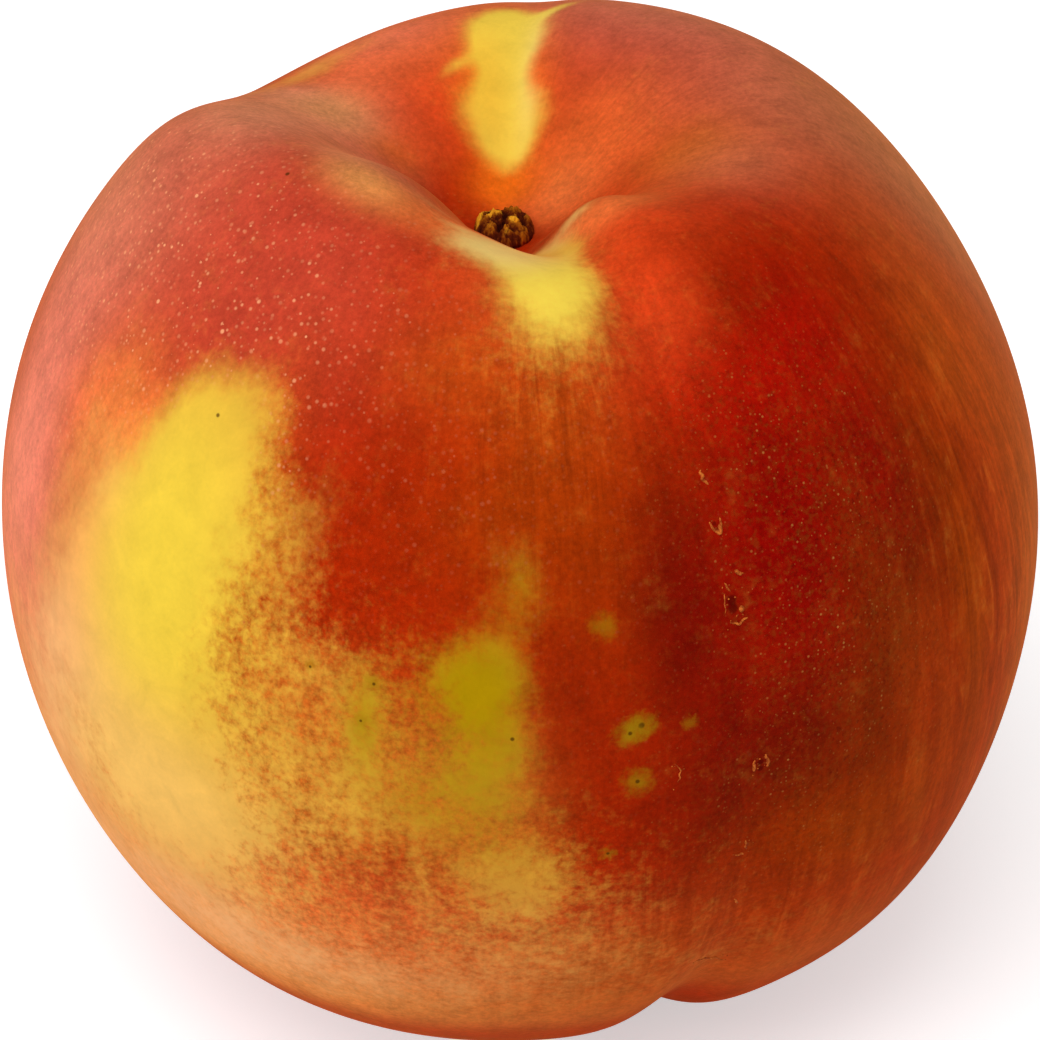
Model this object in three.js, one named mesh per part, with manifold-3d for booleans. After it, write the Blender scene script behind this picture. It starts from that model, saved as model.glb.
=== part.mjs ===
// A whole ripe peach: the fruit, grown as one piece, and the woody scar that its stalk left.
// Millimetres, +Z up. The stem end is on top and the fruit rests on the small flat spot at its
// blossom end. +X is the side where the flesh stands fuller.

import * as THREE from 'three';
import { mergeVertices } from 'three/addons/utils/BufferGeometryUtils.js';
import Module from 'manifold-3d';

const wasm = await Module();
wasm.setup();

// Longitudes are degrees around the stem axis, from +X towards +Y. Polar angles are degrees down
// from the stem axis: 0 is the stem end, 90 the waist and 180 the blossom end.

// Body of the fruit.
const HALF_WIDTH = 36.9;
const HALF_HEIGHT = 37.5;
const SHOULDER_FULLNESS = 2.06; // 2 would be a plain ellipsoid
const FULLER_SIDE = 1.2; // further out on the +X side

// Where the flesh swells out from that body, or falls in.
const SWELLS = [
  { name: 'near shoulder', longitude: 172, polar: 33, spread: 16, height: 2.2 },
  { name: 'low far shoulder', longitude: 124, polar: 44, spread: 24, height: -1.4 },
  { name: 'flat cheek', longitude: 8, polar: 58, spread: 24, height: -0.9 },
  { name: 'lower right cheek', longitude: -30, polar: 128, spread: 20, height: 1.2 },
  { name: 'lower front cheek', longitude: -118, polar: 128, spread: 26, height: 0.9 },
  { name: 'lip beside the suture', longitude: -44, polar: 16, spread: 5, height: 2 },
];

// Stem cavity. Its half width is a polar angle that changes around the stem axis.
const CAVITY_DEPTH = 14.4;
const CAVITY_STEEPNESS = 2.6;
const CAVITY_HALF_WIDTH = 21;
const CAVITY_RIM = [
  { name: 'open far side', longitude: 85, spread: 50, wider: 5 },
  { name: 'valley mouth', longitude: 150, spread: 26, wider: 5 },
  { name: 'overhung near shoulder', longitude: -140, spread: 30, wider: -6 },
  { name: 'right wall', longitude: 0, spread: 40, wider: 2.5 },
  { name: 'suture notch', longitude: -80, spread: 14, wider: 2.5 },
  { name: 'lip beside the suture', longitude: -50, spread: 12, wider: -1 },
];

// Grooves down the fruit. Each has a half width in degrees, and stops of [polar, longitude] for
// its course and [polar, depth] for its depth, with an easy curve from each stop to the next.
const SUTURE = {
  halfWidth: 4.6,
  course: [[16, -67], [36, -66], [56, -64], [90, -62], [145, -64]],
  depths: [[0, 0], [10, 0.8], [20, 1.9], [34, 1.4], [56, 0.5], [80, 0.45], [105, 0.6],
    [135, 1.6], [150, 2.5], [166, 1.6], [180, 0.8]],
};
const FAR_CREASE = {
  halfWidth: 4,
  course: [[0, 84], [180, 84]],
  depths: [[0, 0], [15, 0.3], [28, 0.4], [50, 0.2], [90, 0.1], [150, 0.5], [180, 0.3]],
};
const SHOULDER_VALLEY = {
  halfWidth: 16,
  course: [[0, 140], [180, 140]],
  depths: [[0, 0], [18, 0.5], [30, 1.2], [42, 1.2], [60, 0.5], [85, 0]],
};
const GROOVES = [SUTURE, FAR_CREASE, SHOULDER_VALLEY];

// Blossom end: a shallow dimple in the middle of the flat spot that the fruit rests on.
const DIMPLE_DEPTH = 1.6;
const DIMPLE_HALF_WIDTH = 9; // degrees
const FLATTENED = 0.5; // how far the flesh has settled where it rests

// Stem scar: a low woody stub on the floor of the cavity, with torn knobs around its rim.
const SCAR_HALF_WIDTH = 2.1;
const SCAR_EDGE_HEIGHT = 0.9;
const SCAR_CROWN_HEIGHT = 1.5;
const SCAR_KNOBS = 7;
const SCAR_KNOB_HEIGHT = 0.55;
const SCAR_KNOB_CIRCLE = 0.66; // of the scar's half width
const SCAR_KNOB_SPREAD = 0.3; // of the scar's half width
const SCAR_GAP = 0.3; // clear of the fruit all along its underside

// Facets.
const FRUIT_MERIDIANS = 66;
const FRUIT_RINGS = 40;
const FIRST_RING_SHARE = 0.45; // first ring's step against an even one, closer in the cavity
const SCAR_MERIDIANS = 35;
const SCAR_RINGS = 6;

/** Smooth hump: 1 at zero, fading on both sides. */
function bell(x) {
  return Math.exp(-x * x);
}

/** Value at x of a list of [place, value] stops, easing from each stop to the next. */
function alongStops(x, stops) {
  let value = stops[0][1];
  for (let i = 1; i < stops.length; i += 1) {
    const [start, from] = stops[i - 1];
    const [end, to] = stops[i];
    if (x >= start) value = from + (to - from) * THREE.MathUtils.smoothstep(x, start, end);
  }
  return value;
}

/** Degrees from one longitude to another the short way round. */
function longitudeGap(longitude, other) {
  return THREE.MathUtils.euclideanModulo(longitude - other + 180, 360) - 180;
}

/** Unit vector that points out of the fruit's middle. */
function outward(longitude, polar) {
  const around = THREE.MathUtils.degToRad(longitude);
  const down = THREE.MathUtils.degToRad(polar);
  return new THREE.Vector3(
    Math.sin(down) * Math.cos(around),
    Math.sin(down) * Math.sin(around),
    Math.cos(down),
  );
}

/** Distance from the middle to the skin of the rounded body, before any swell or groove. */
function bodyRadius(out) {
  const across = Math.hypot(out.x, out.y) / HALF_WIDTH;
  const along = Math.abs(out.z) / HALF_HEIGHT;
  const power = SHOULDER_FULLNESS;
  return (across ** power + along ** power) ** (-1 / power) + FULLER_SIDE * out.x;
}

/** How far the swells lift the skin. */
function swellHeight(out) {
  let height = 0;
  for (const swell of SWELLS) {
    const away = THREE.MathUtils.radToDeg(out.angleTo(outward(swell.longitude, swell.polar)));
    height += swell.height * bell(away / swell.spread);
  }
  return height;
}

/** How far the stem cavity sinks the skin. */
function cavityDepth(longitude, polar) {
  let halfWidth = CAVITY_HALF_WIDTH;
  for (const stretch of CAVITY_RIM) {
    const gap = longitudeGap(longitude, stretch.longitude);
    halfWidth += stretch.wider * bell(gap / stretch.spread);
  }
  return CAVITY_DEPTH * Math.exp(-((polar / halfWidth) ** CAVITY_STEEPNESS));
}

/** How far one groove sinks the skin. */
function grooveDepth(groove, longitude, polar) {
  const gap = THREE.MathUtils.degToRad(longitude - alongStops(polar, groove.course));
  const offset = Math.sin(THREE.MathUtils.degToRad(polar)) * Math.sin(gap);
  const away = THREE.MathUtils.radToDeg(Math.asin(offset));
  const onThisSide = THREE.MathUtils.smoothstep(Math.cos(gap), -0.2, 0.35);
  return alongStops(polar, groove.depths) * bell(away / groove.halfWidth) * onThisSide;
}

/** Distance from the fruit's middle to its skin. */
function skinRadius(longitude, polar) {
  const out = outward(longitude, polar);
  let radius = bodyRadius(out) + swellHeight(out) - cavityDepth(longitude, polar);
  for (const groove of GROOVES) radius -= grooveDepth(groove, longitude, polar);
  return radius - DIMPLE_DEPTH * bell((180 - polar) / DIMPLE_HALF_WIDTH);
}

/**
 * Closed surface of rings around the Z axis between two points on it.
 * @param {number} meridians points on each ring
 * @param {number} rings rings between the two end points
 * @param {function(number, number): THREE.Vector3} place point at a longitude in degrees and a
 *   share of the way, 0 at the upper end point and 1 at the lower
 */
function ringedGeometry(meridians, rings, place) {
  const points = [place(0, 0)];
  const faces = [];
  for (let ring = 1; ring <= rings; ring += 1) {
    for (let i = 0; i < meridians; i += 1) {
      points.push(place((360 * i) / meridians, ring / (rings + 1)));
    }
  }
  points.push(place(0, 1));
  const last = points.length - 1;
  for (let i = 0; i < meridians; i += 1) {
    const next = (i + 1) % meridians;
    faces.push(0, 1 + i, 1 + next);
    for (let ring = 1; ring < rings; ring += 1) {
      const upper = 1 + (ring - 1) * meridians;
      const lower = upper + meridians;
      faces.push(upper + i, lower + i, lower + next);
      faces.push(upper + i, lower + next, upper + next);
    }
    faces.push(last - meridians + next, last - meridians + i, last);
  }
  const geometry = new THREE.BufferGeometry().setFromPoints(points);
  geometry.setIndex(faces);
  return geometry;
}

/** The fruit about its own middle, before it settles on its flat spot. */
function roundFruitGeometry() {
  return ringedGeometry(FRUIT_MERIDIANS, FRUIT_RINGS, (longitude, share) => {
    const polar = 180 * share * (FIRST_RING_SHARE + (1 - FIRST_RING_SHARE) * share);
    return outward(longitude, polar).multiplyScalar(skinRadius(longitude, polar));
  });
}

/** manifold-3d solid of a closed geometry. */
function solidOf(geometry) {
  const merged = mergeVertices(geometry);
  return new wasm.Manifold(new wasm.Mesh({
    numProp: 3,
    vertProperties: new Float32Array(merged.attributes.position.array),
    triVerts: new Uint32Array(merged.index.array),
  }));
}

/** Flat-shaded geometry of a manifold-3d solid. */
function geometryOf(solid) {
  const mesh = solid.getMesh();
  const geometry = new THREE.BufferGeometry();
  geometry.setAttribute('position', new THREE.Float32BufferAttribute(mesh.vertProperties, 3));
  geometry.setIndex(new THREE.Uint32BufferAttribute(mesh.triVerts, 1));
  return geometry;
}

/** The fruit with the flat spot that it rests on, at z = restHeight. */
function fruitGeometry(round, restHeight) {
  const reach = 4 * HALF_WIDTH;
  const below = wasm.Manifold.cube([reach, reach, reach], true)
    .translate([0, 0, restHeight - reach / 2]);
  return geometryOf(solidOf(round).subtract(below));
}

/** Thickness of the scar at a share of its half width: a domed stub with knobs near its rim. */
function scarThickness(longitude, share) {
  const dome = SCAR_CROWN_HEIGHT + (SCAR_EDGE_HEIGHT - SCAR_CROWN_HEIGHT) * share ** 2;
  let knobs = 0;
  for (let i = 0; i < SCAR_KNOBS; i += 1) {
    const around = THREE.MathUtils.degToRad(longitude - (360 * i) / SCAR_KNOBS);
    const circle = SCAR_KNOB_CIRCLE;
    const away = Math.hypot(share * Math.cos(around) - circle, share * Math.sin(around));
    knobs += SCAR_KNOB_HEIGHT * bell(away / SCAR_KNOB_SPREAD);
  }
  return dome + knobs;
}

/** The woody scar, its top rings going out to the edge and its underside coming back. */
function scarGeometry() {
  const floorRadius = skinRadius(0, 0);
  const edgePolar = THREE.MathUtils.radToDeg(Math.asin(SCAR_HALF_WIDTH / floorRadius));
  return ringedGeometry(SCAR_MERIDIANS, 2 * SCAR_RINGS, (longitude, share) => {
    const step = Math.round(share * (2 * SCAR_RINGS + 1));
    const onTop = step <= SCAR_RINGS;
    const reach = (onTop ? step : 2 * SCAR_RINGS + 1 - step) / SCAR_RINGS;
    const polar = edgePolar * reach;
    const underside = skinRadius(longitude, polar) + SCAR_GAP;
    const radius = underside + (onTop ? scarThickness(longitude, reach) : 0);
    return outward(longitude, polar).multiplyScalar(radius);
  });
}

/** Matt orange-red skin. */
function skinMaterial() {
  return new THREE.MeshStandardMaterial({ color: 0xc4472a, roughness: 0.62, metalness: 0 });
}

/** Dry brown wood. */
function scarMaterial() {
  return new THREE.MeshStandardMaterial({ color: 0x4a2a16, roughness: 0.85, metalness: 0 });
}

/** Both pieces, with the origin on the surface below the middle of the fruit's box. */
function buildPeach() {
  const round = roundFruitGeometry();
  round.computeBoundingBox();
  const restHeight = round.boundingBox.min.z + FLATTENED;

  const fruit = new THREE.Mesh(fruitGeometry(round, restHeight), skinMaterial());
  fruit.name = 'peach_fruit';
  const scar = new THREE.Mesh(scarGeometry(), scarMaterial());
  scar.name = 'stem_scar';

  const middle = round.boundingBox.getCenter(new THREE.Vector3());
  const group = new THREE.Group();
  for (const piece of [fruit, scar]) {
    piece.position.set(-middle.x, -middle.y, -restHeight);
    group.add(piece);
  }
  return group;
}

const group = buildPeach();
export default group;
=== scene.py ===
"""A whole ripe peach dressed for its portrait.

The fruit's skin, the corky flecks along its suture and the woody scar of its stalk are built
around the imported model. Places on the skin are given as a longitude, in degrees around the stem
axis from +X towards +Y, and a polar angle, in degrees down from the stem axis.
"""

import logging
import math
from dataclasses import dataclass, field
from enum import Enum
from functools import partial, reduce

import bpy
import numpy as np
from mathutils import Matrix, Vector


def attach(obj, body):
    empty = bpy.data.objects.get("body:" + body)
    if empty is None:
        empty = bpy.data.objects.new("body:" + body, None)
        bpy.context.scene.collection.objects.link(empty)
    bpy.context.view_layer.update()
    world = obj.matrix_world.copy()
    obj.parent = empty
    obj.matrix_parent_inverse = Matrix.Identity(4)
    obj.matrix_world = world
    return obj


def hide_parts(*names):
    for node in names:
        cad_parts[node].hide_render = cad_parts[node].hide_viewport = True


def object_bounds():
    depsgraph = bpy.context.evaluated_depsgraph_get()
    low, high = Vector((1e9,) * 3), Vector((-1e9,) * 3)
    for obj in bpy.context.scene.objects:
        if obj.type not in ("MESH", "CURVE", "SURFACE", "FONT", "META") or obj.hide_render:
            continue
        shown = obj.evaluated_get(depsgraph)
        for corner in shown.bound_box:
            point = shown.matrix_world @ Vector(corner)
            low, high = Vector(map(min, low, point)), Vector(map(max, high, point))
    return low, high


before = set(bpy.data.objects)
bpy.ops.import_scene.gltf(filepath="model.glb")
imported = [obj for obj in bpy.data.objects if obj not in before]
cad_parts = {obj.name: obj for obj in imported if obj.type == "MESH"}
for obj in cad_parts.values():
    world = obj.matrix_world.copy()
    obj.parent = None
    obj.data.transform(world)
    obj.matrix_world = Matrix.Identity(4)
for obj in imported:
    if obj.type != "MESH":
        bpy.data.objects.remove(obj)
CAD_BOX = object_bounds()

log = logging.getLogger("peach")

MM = 0.001
BODY = "root"

Socket = bpy.types.NodeSocket
Span = tuple[float, float]
Stops = list[Span]
Rgba = tuple[float, float, float, float]


# ---- node graphs


class Input(Enum):
    """What a named input of a tree takes."""

    NUMBER = "NodeSocketFloat"
    COUNT = "NodeSocketInt"
    OBJECT = "NodeSocketObject"
    MATERIAL = "NodeSocketMaterial"
    GEOMETRY = "NodeSocketGeometry"


@dataclass(frozen=True)
class Grain:
    """A noise: its strength, lumps to a unit, finer octaves and their share, and distortion."""

    strength: float
    scale: float
    detail: float = 3.0
    share: float = 0.6
    distortion: float = 0.0


@dataclass
class Graph:
    """Adds nodes to a tree and links them in the order they are made."""

    tree: bpy.types.NodeTree

    def node(self, kind: str, **settings: object) -> bpy.types.Node:
        """Add a node.

        Args:
            kind: Blender's name of the node type.
            settings: properties of the node to set.

        Returns:
            The new node.
        """
        made = self.tree.nodes.new(kind)
        for name, value in settings.items():
            setattr(made, name, value)
        return made

    def plug(self, socket: Socket, value: object) -> None:
        """Link an input to another socket, or set it to a plain value."""
        if isinstance(value, Socket):
            self.tree.links.new(value, socket)
        else:
            socket.default_value = value

    def fed(self, kind: str, inputs: dict[str | int, object], output: str | int = 0,
            **settings: object) -> Socket:
        """Add a node, feed its inputs and take one output.

        Args:
            kind: Blender's name of the node type.
            inputs: what feeds each input, by its name or number.
            output: name or number of the output.
            settings: properties of the node to set.

        Returns:
            The output's socket.
        """
        made = self.node(kind, **settings)
        for name, value in inputs.items():
            self.plug(made.inputs[name], value)
        return made.outputs[output]

    def math(self, operation: str, *values: object, clamp: bool = False) -> Socket:
        """Socket of one Math operation on values, kept between 0 and 1 if clamp is set."""
        return self.fed("ShaderNodeMath", dict(enumerate(values)), operation=operation,
                        use_clamp=clamp)

    def total(self, *values: object) -> Socket:
        """Socket of the values' sum."""
        return reduce(partial(self.math, "ADD"), values)

    def times(self, *values: object) -> Socket:
        """Socket of the values' product."""
        return reduce(partial(self.math, "MULTIPLY"), values)

    def bell(self, x: object) -> Socket:
        """Socket of a smooth hump: 1 where x is 0, and fading within about one unit of it."""
        return self.math("EXPONENT", self.times(x, x, -1.0))

    def arccos(self, x: object) -> Socket:
        """Socket of the angle whose cosine is x, in radians."""
        return self.math("ARCCOSINE", self.math("MAXIMUM", self.math("MINIMUM", x, 1.0), -1.0))

    def ease(self, x: object, start: float, end: float, low: object = 0.0,
             high: object = 1.0) -> Socket:
        """Socket of a value that eases from low, where x is start, to high, where x is end."""
        sizes = {"Value": x, "From Min": start, "From Max": end, "To Min": low, "To Max": high}
        return self.fed("ShaderNodeMapRange", sizes, "Result", interpolation_type="SMOOTHSTEP")

    def along(self, x: object, stops: Stops) -> Socket:
        """Follow stops, easing from each to the next.

        Args:
            x: the place to read.
            stops: (place, value) pairs in order.

        Returns:
            The value's socket.
        """
        answer: object = stops[0][1]
        for (start, before), (end, after) in zip(stops, stops[1:]):
            if after != before:
                answer = self.total(answer, self.ease(x, start, end, 0.0, after - before))
        return answer

    def xyz(self, x: object, y: object, z: object) -> Socket:
        """Socket of a vector of three values."""
        return self.fed("ShaderNodeCombineXYZ", {0: x, 1: y, 2: z})

    def split(self, vector: Socket) -> tuple[Socket, ...]:
        """Take a vector apart.

        Args:
            vector: its socket.

        Returns:
            Sockets of its x, y and z.
        """
        made = self.node("ShaderNodeSeparateXYZ")
        self.plug(made.inputs[0], vector)
        return tuple(made.outputs)

    def vector(self, operation: str, *values: object, output: str = "Vector") -> Socket:
        """Socket of one Vector Math operation, or its Value for a distance or dot product."""
        places = (0, "Scale") if operation == "SCALE" else (0, 1)
        return self.fed("ShaderNodeVectorMath", dict(zip(places, values)), output,
                        operation=operation)

    def noise(self, place: object, grain: Grain) -> Socket:
        """Soft noise centred on 0, about half its strength to either side.

        Args:
            place: where to read it.
            grain: how it looks.

        Returns:
            The noise's socket.
        """
        sizes = {"Vector": place, "Scale": grain.scale, "Detail": grain.detail,
                 "Roughness": grain.share, "Distortion": grain.distortion}
        made = self.fed("ShaderNodeTexNoise", sizes, noise_dimensions="3D")
        return self.times(self.math("SUBTRACT", made, 0.5), grain.strength)

    def mix(self, share: object, first: object, second: object) -> Socket:
        """Socket of a mix of two colours, all first at a share of 0 and all second at 1."""
        return self.fed("ShaderNodeMix", {0: share, 6: first, 7: second}, 2, data_type="RGBA",
                        clamp_factor=True)

    def attribute(self, name: str, output: str = "Fac") -> Socket:
        """Socket of an attribute of the surface in a shader, read as Fac, Color or Vector."""
        return self.fed("ShaderNodeAttribute", {}, output, attribute_name=name)

    def keep(self, geometry: Socket, name: str, value: Socket, kind: str = "FLOAT") -> Socket:
        """Socket of a geometry with an attribute stored on its points."""
        return self.fed("GeometryNodeStoreNamedAttribute", data_type=kind, domain="POINT",
                        inputs={"Geometry": geometry, "Name": name, "Value": value})

    def saved(self, name: str) -> Socket:
        """Socket of a number that was stored on the points."""
        return self.fed("GeometryNodeInputNamedAttribute", {"Name": name}, "Attribute",
                        data_type="FLOAT")

    def position(self) -> Socket:
        """Socket of each point's position."""
        return self.fed("GeometryNodeInputPosition", {})

    def put(self, geometry: Socket, position: Socket) -> Socket:
        """Socket of a geometry with its points put in new positions."""
        return self.fed("GeometryNodeSetPosition", {"Geometry": geometry, "Position": position})

    def moved(self, geometry: Socket, offset: Socket) -> Socket:
        """Socket of a geometry with its points moved by an offset."""
        return self.fed("GeometryNodeSetPosition", {"Geometry": geometry, "Offset": offset})

    def smooth(self, geometry: Socket) -> Socket:
        """Socket of a geometry with smooth shading."""
        return self.fed("GeometryNodeSetShadeSmooth", {"Geometry": geometry})


def linear(code: str) -> Rgba:
    """Turn a colour as it is seen into the numbers that light is worked out with.

    Args:
        code: six hexadecimal digits, red, green and blue.

    Returns:
        Linear red, green and blue, and an alpha of 1.
    """
    parts = [int(code[i:i + 2], 16) / 255 for i in (0, 2, 4)]
    lit = [p / 12.92 if p <= 0.04045 else ((p + 0.055) / 1.055) ** 2.4 for p in parts]
    return (lit[0], lit[1], lit[2], 1.0)


class GrownPart:
    """A Geometry Nodes tree with named inputs that is turned into a plain mesh."""

    def __init__(self, name: str) -> None:
        """Start an empty tree.

        Args:
            name: name of the tree and of the piece it makes.
        """
        self.name = name
        self.tree = bpy.data.node_groups.new(name, "GeometryNodeTree")
        self.graph = Graph(self.tree)
        self.inputs: dict[str, object] = {}
        self.start: bpy.types.Mesh | None = None
        self.tree.interface.new_socket(name="Geometry", in_out="OUTPUT",
                                       socket_type=Input.GEOMETRY.value)
        self.entry = self.graph.node("NodeGroupInput")
        self.exit = self.graph.node("NodeGroupOutput")

    def size(self, name: str, value: object, kind: Input = Input.NUMBER) -> Socket:
        """Add a named input.

        Args:
            name: the input's name.
            value: what the modifier sets it to.
            kind: what it takes.

        Returns:
            The socket to link from.
        """
        made = self.tree.interface.new_socket(name=name, in_out="INPUT", socket_type=kind.value)
        self.inputs[made.identifier] = value
        return self.entry.outputs[name]

    def sizes(self, holder: object, *names: str) -> list[Socket]:
        """Sockets of new named inputs, one for each size that a sub-assembly holds."""
        return [self.size(name.replace("_", " ").capitalize(), getattr(holder, name))
                for name in names]

    def base(self, mesh: bpy.types.Mesh) -> Socket:
        """Start the tree from a mesh, before any named input is added.

        Args:
            mesh: what the modifier works on.

        Returns:
            The geometry's socket.
        """
        self.start = mesh
        self.tree.interface.new_socket(name="Geometry", in_out="INPUT",
                                       socket_type=Input.GEOMETRY.value)
        return self.entry.outputs["Geometry"]

    def ball(self, meridians: int, rings: int) -> Socket:
        """Socket of a smooth ball of radius 1, with so many faces around and from end to end."""
        counts = {"Segments": self.size("Meridians", meridians, Input.COUNT),
                  "Rings": self.size("Rings", rings, Input.COUNT)}
        return self.graph.smooth(self.graph.fed("GeometryNodeMeshUVSphere", counts, "Mesh"))

    def finish(self, geometry: Socket, material: bpy.types.Material) -> None:
        """End the tree in Realize Instances and Set Material.

        Args:
            geometry: what the tree has made.
            material: the finish of all of it.
        """
        finish = self.size("Finish", material, Input.MATERIAL)
        real = self.graph.fed("GeometryNodeRealizeInstances", {0: geometry})
        dressed = self.graph.fed("GeometryNodeSetMaterial", {"Geometry": real, "Material": finish})
        self.graph.plug(self.exit.inputs[0], dressed)

    def grow(self) -> bpy.types.Object:
        """Run the tree.

        Returns:
            A new object at the origin that holds the plain mesh.
        """
        blank = self.start or bpy.data.meshes.new(self.name + "_seed")
        seed = bpy.data.objects.new(self.name + "_seed", blank)
        bpy.context.scene.collection.objects.link(seed)
        modifier = seed.modifiers.new(self.name, "NODES")
        modifier.node_group = self.tree
        for identifier, value in self.inputs.items():
            modifier[identifier] = value
        ready = seed.evaluated_get(bpy.context.evaluated_depsgraph_get())
        mesh = bpy.data.meshes.new_from_object(ready)
        mesh.name = self.name
        bpy.data.objects.remove(seed, do_unlink=True)
        bpy.data.meshes.remove(blank)
        piece = bpy.data.objects.new(self.name, mesh)
        bpy.context.scene.collection.objects.link(piece)
        return piece


@dataclass(frozen=True)
class Finish:
    """What every finish has: how matt it is, its gloss, and its fine relief in millimetres."""

    roughness: float = 0.8
    gloss: float = 0.1
    relief: float = 0.0
    relief_strength: float = 0.0

    @staticmethod
    def begin(made: bpy.types.Material) -> tuple[Graph, Socket]:
        """Start a material.

        Args:
            made: an empty material.

        Returns:
            Its graph, and the socket of the point in millimetres.
        """
        made.use_nodes = True
        g = Graph(made.node_tree)
        return g, g.vector("SCALE", g.fed("ShaderNodeTexCoord", {}, "Object"), 1 / MM)

    def end(self, g: Graph, colour: Socket, height: Socket | None = None) -> None:
        """Dress the shader.

        Args:
            g: the material's graph.
            colour: of each point.
            height: of the fine relief, where there is any.
        """
        inputs = g.tree.nodes["Principled BSDF"].inputs
        g.plug(inputs["Base Color"], colour)
        g.plug(inputs["Roughness"], self.roughness)
        g.plug(inputs["Specular IOR Level"], self.gloss)
        if height is not None:
            g.plug(inputs["Normal"], g.fed("ShaderNodeBump", {
                "Strength": self.relief_strength, "Distance": self.relief * MM, "Height": height}))


# ---- form of the fruit


@dataclass(frozen=True)
class Swell:
    """Where the flesh swells out, or falls in: degrees, and a height in millimetres."""

    longitude: float
    polar: float
    spread: float
    height: float


@dataclass(frozen=True)
class RimStretch:
    """A stretch of the cavity's rim that stands wider, in degrees, or closer."""

    longitude: float
    spread: float
    wider: float


@dataclass(frozen=True)
class Groove:
    """A groove down the fruit: its course and depth are read by polar angle."""

    half_width: float
    course: Stops
    depths: Stops


@dataclass(frozen=True)
class FruitForm:
    """The rule that the fruit's shape follows, in millimetres and degrees."""

    half_width: float = 36.9
    half_height: float = 37.5
    shoulder_fullness: float = 2.06
    fuller_side: float = 1.2
    cavity_depth: float = 14.4
    cavity_steepness: float = 2.6
    cavity_half_width: float = 21.0
    dimple_depth: float = 1.6
    dimple_half_width: float = 9.0
    flattened: float = 0.5
    swells: tuple[Swell, ...] = (
        Swell(172, 33, 16, 2.2),
        Swell(124, 44, 24, -1.4),
        Swell(8, 58, 24, -0.9),
        Swell(-30, 128, 20, 1.2),
        Swell(-118, 128, 26, 0.9),
        Swell(-44, 16, 5, 2),
    )
    rim: tuple[RimStretch, ...] = (
        RimStretch(85, 50, 5),
        RimStretch(150, 26, 5),
        RimStretch(-140, 30, -6),
        RimStretch(0, 40, 2.5),
        RimStretch(-80, 14, 2.5),
        RimStretch(-50, 12, -1),
    )
    suture: Groove = Groove(
        4.6,
        [(16, -67), (36, -66), (56, -64), (90, -62), (145, -64)],
        [(0, 0), (10, 0.8), (20, 1.9), (34, 1.4), (56, 0.5), (80, 0.45), (105, 0.6),
         (135, 1.6), (150, 2.5), (166, 1.6), (180, 0.8)],
    )
    far_crease: Groove = Groove(
        4.0,
        [(0, 84), (180, 84)],
        [(0, 0), (15, 0.3), (28, 0.4), (50, 0.2), (90, 0.1), (150, 0.5), (180, 0.3)],
    )
    shoulder_valley: Groove = Groove(
        16.0,
        [(0, 140), (180, 140)],
        [(0, 0), (18, 0.5), (30, 1.2), (42, 1.2), (60, 0.5), (85, 0)],
    )

    @staticmethod
    def out(longitude: float, polar: float) -> Vector:
        """Unit vector out of the fruit's middle."""
        around, down = math.radians(longitude), math.radians(polar)
        return Vector((math.sin(down) * math.cos(around),
                       math.sin(down) * math.sin(around), math.cos(down)))


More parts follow.
